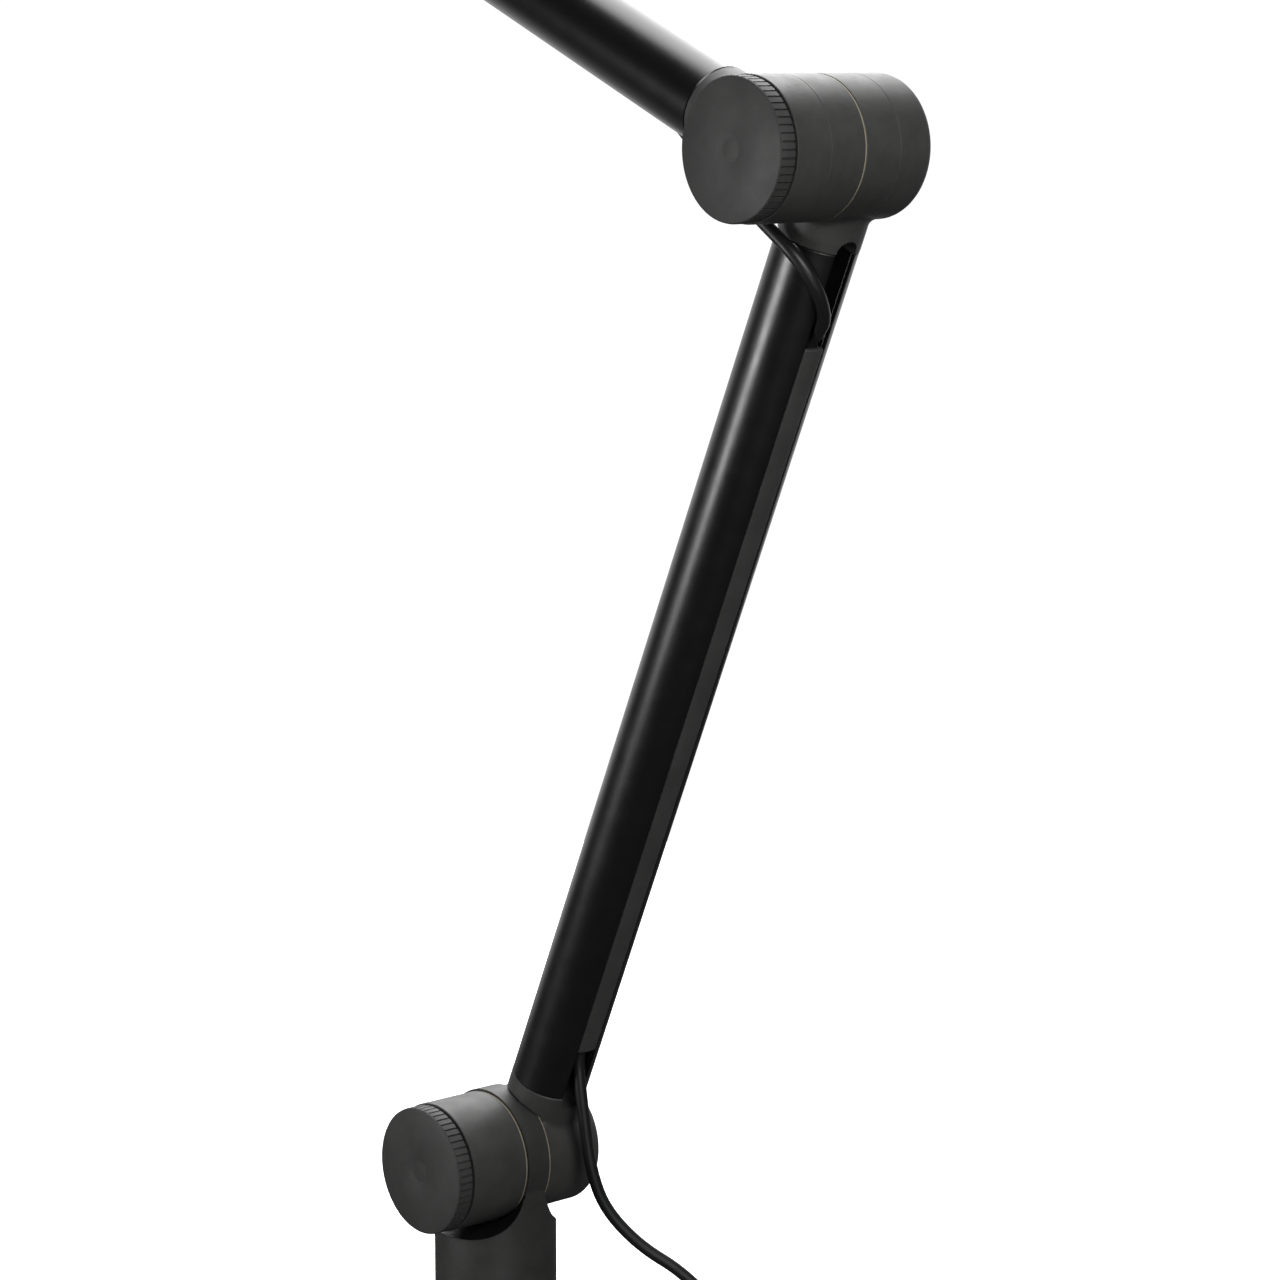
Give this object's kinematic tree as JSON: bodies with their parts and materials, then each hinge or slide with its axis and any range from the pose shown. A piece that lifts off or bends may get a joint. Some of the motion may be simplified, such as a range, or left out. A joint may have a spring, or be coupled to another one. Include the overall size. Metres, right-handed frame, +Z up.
{
  "type": "articulated desktop boom arm",
  "caption": "Free-standing two-link boom arm: round weighted base, post, clamped joints with fluted tension knobs, channelled round tubes with snap-in covers, cable and threaded stud.",
  "frame": {"origin": "centre of the base's underside, on the post's axis", "axes": "+Z up along the post; both arms swing in planes parallel to XZ; joint axes run along Y with the tension knobs on the -Y side; at rest the lower arm leans towards +X and the forearm rises towards -X"},
  "size_m": [0.4062, 0.2639, 0.6906],
  "materials": {
    "cast_iron": "black textured powder coat",
    "pad_rubber": "matt",
    "dark_metal": "fine matt black anodised",
    "tube_black": "satin black anodised",
    "cover_plastic": "matt black moulded",
    "knob_plastic": "matt black moulded",
    "tan_washer": "natural friction washer",
    "steel": "zinc plated",
    "black_steel": "blackened",
    "brass": "turned",
    "bronze": "sintered bronze",
    "cable_rubber": "satin black jacket",
    "tie_fabric": "woven strap"
  },
  "bodies": {
    "base": {"base_plate": "cast_iron", "foot_pad": "pad_rubber", "base_socket": "dark_metal", "socket_screws": "black_steel", "swivel_bush": "bronze"},
    "post": {"post": "dark_metal", "post_spindle": "steel", "spindle_washer": "steel", "spindle_screw": "steel", "thrust_washer": "tan_washer", "lug_bush": "bronze", "cable_tail": "cable_rubber", "cable_coil": "cable_rubber", "cable_end": "cable_rubber", "cable_tie": "tie_fabric", "plug_relief": "cable_rubber", "plug_body": "cable_rubber", "plug_shell": "steel"},
    "lower_arm": {"shoulder_near_housing": "dark_metal", "shoulder_near_washer": "tan_washer", "shoulder_far_washer": "tan_washer", "shoulder_far_housing": "dark_metal", "shoulder_bolt": "steel", "shoulder_springs": "steel", "shoulder_bolt_cap": "cover_plastic", "lower_tube": "tube_black", "lower_tube_screws": "black_steel", "lower_cable": "cable_rubber", "elbow_far_housing": "dark_metal", "elbow_bolt": "steel", "elbow_bolt_cap": "cover_plastic", "elbow_washer": "tan_washer", "elbow_springs": "steel", "elbow_cable_loop": "cable_rubber"},
    "lower_cover": {"lower_cover": "cover_plastic"},
    "forearm": {"elbow_near_housing": "dark_metal", "elbow_bush": "bronze", "forearm_tube": "tube_black", "forearm_tube_screws": "black_steel", "forearm_cable": "cable_rubber", "wrist_housing": "dark_metal", "wrist_washer": "tan_washer", "head_socket": "cover_plastic", "wrist_bolt": "steel"},
    "forearm_cover": {"forearm_cover": "cover_plastic"},
    "head": {"head_block": "dark_metal", "head_cap": "cover_plastic", "stud": "brass"},
    "lock_ring": {"lock_ring": "brass"},
    "wrist_knob": {"wrist_knob": "knob_plastic"},
    "shoulder_knob": {"shoulder_knob": "knob_plastic", "shoulder_knob_cap": "knob_plastic", "shoulder_knob_insert": "brass"},
    "elbow_knob": {"elbow_knob": "knob_plastic", "elbow_knob_cap": "knob_plastic", "elbow_knob_insert": "brass"}
  },
  "joints": [
    {"name": "post_pan", "type": "hinge", "parent": "base", "child": "post", "pos_m": [0, 0, 0.04], "axis": [0, 0, 1], "range_deg": [-175, 175]},
    {"name": "shoulder", "type": "hinge", "parent": "post", "child": "lower_arm", "pos_m": [0, 0, 0.15], "axis": [0, 1, 0], "range_deg": [-68, 60], "deforming": ["cable_tail"]},
    {"name": "elbow", "type": "hinge", "parent": "lower_arm", "child": "forearm", "pos_m": [0.16231, 0, 0.51559], "axis": [0, 1, 0], "range_deg": [-60, 88], "deforming": ["elbow_cable_loop"]},
    {"name": "head_tilt", "type": "hinge", "parent": "forearm", "child": "head", "pos_m": [-0.20471, 0, 0.67464], "axis": [0, 1, 0], "range_deg": [-15, 180]},
    {"name": "shoulder_knob_turn", "type": "hinge", "parent": "lower_arm", "child": "shoulder_knob", "pos_m": [0, 0, 0.15], "axis": [0, 1, 0], "range_deg": [-180, 180]},
    {"name": "elbow_knob_turn", "type": "hinge", "parent": "lower_arm", "child": "elbow_knob", "pos_m": [0.16231, 0, 0.51559], "axis": [0, 1, 0], "range_deg": [-180, 180]},
    {"name": "wrist_knob_turn", "type": "hinge", "parent": "forearm", "child": "wrist_knob", "pos_m": [-0.20471, 0, 0.67464], "axis": [0, 1, 0], "range_deg": [-180, 180]},
    {"name": "lock_ring_turn", "type": "hinge", "parent": "head", "child": "lock_ring", "pos_m": [-0.20471, -0.00305, 0.64344], "axis": [0, 0, 1], "continuous": true},
    {"name": "lower_cover_pull", "type": "slide", "parent": "lower_arm", "child": "lower_cover", "axis": [0.914, 0, -0.4058], "range_m": [0, 0.014]},
    {"name": "forearm_cover_pull", "type": "slide", "parent": "forearm", "child": "forearm_cover", "axis": [-0.3976, 0, -0.9175], "range_m": [0, 0.014]}
  ]
}
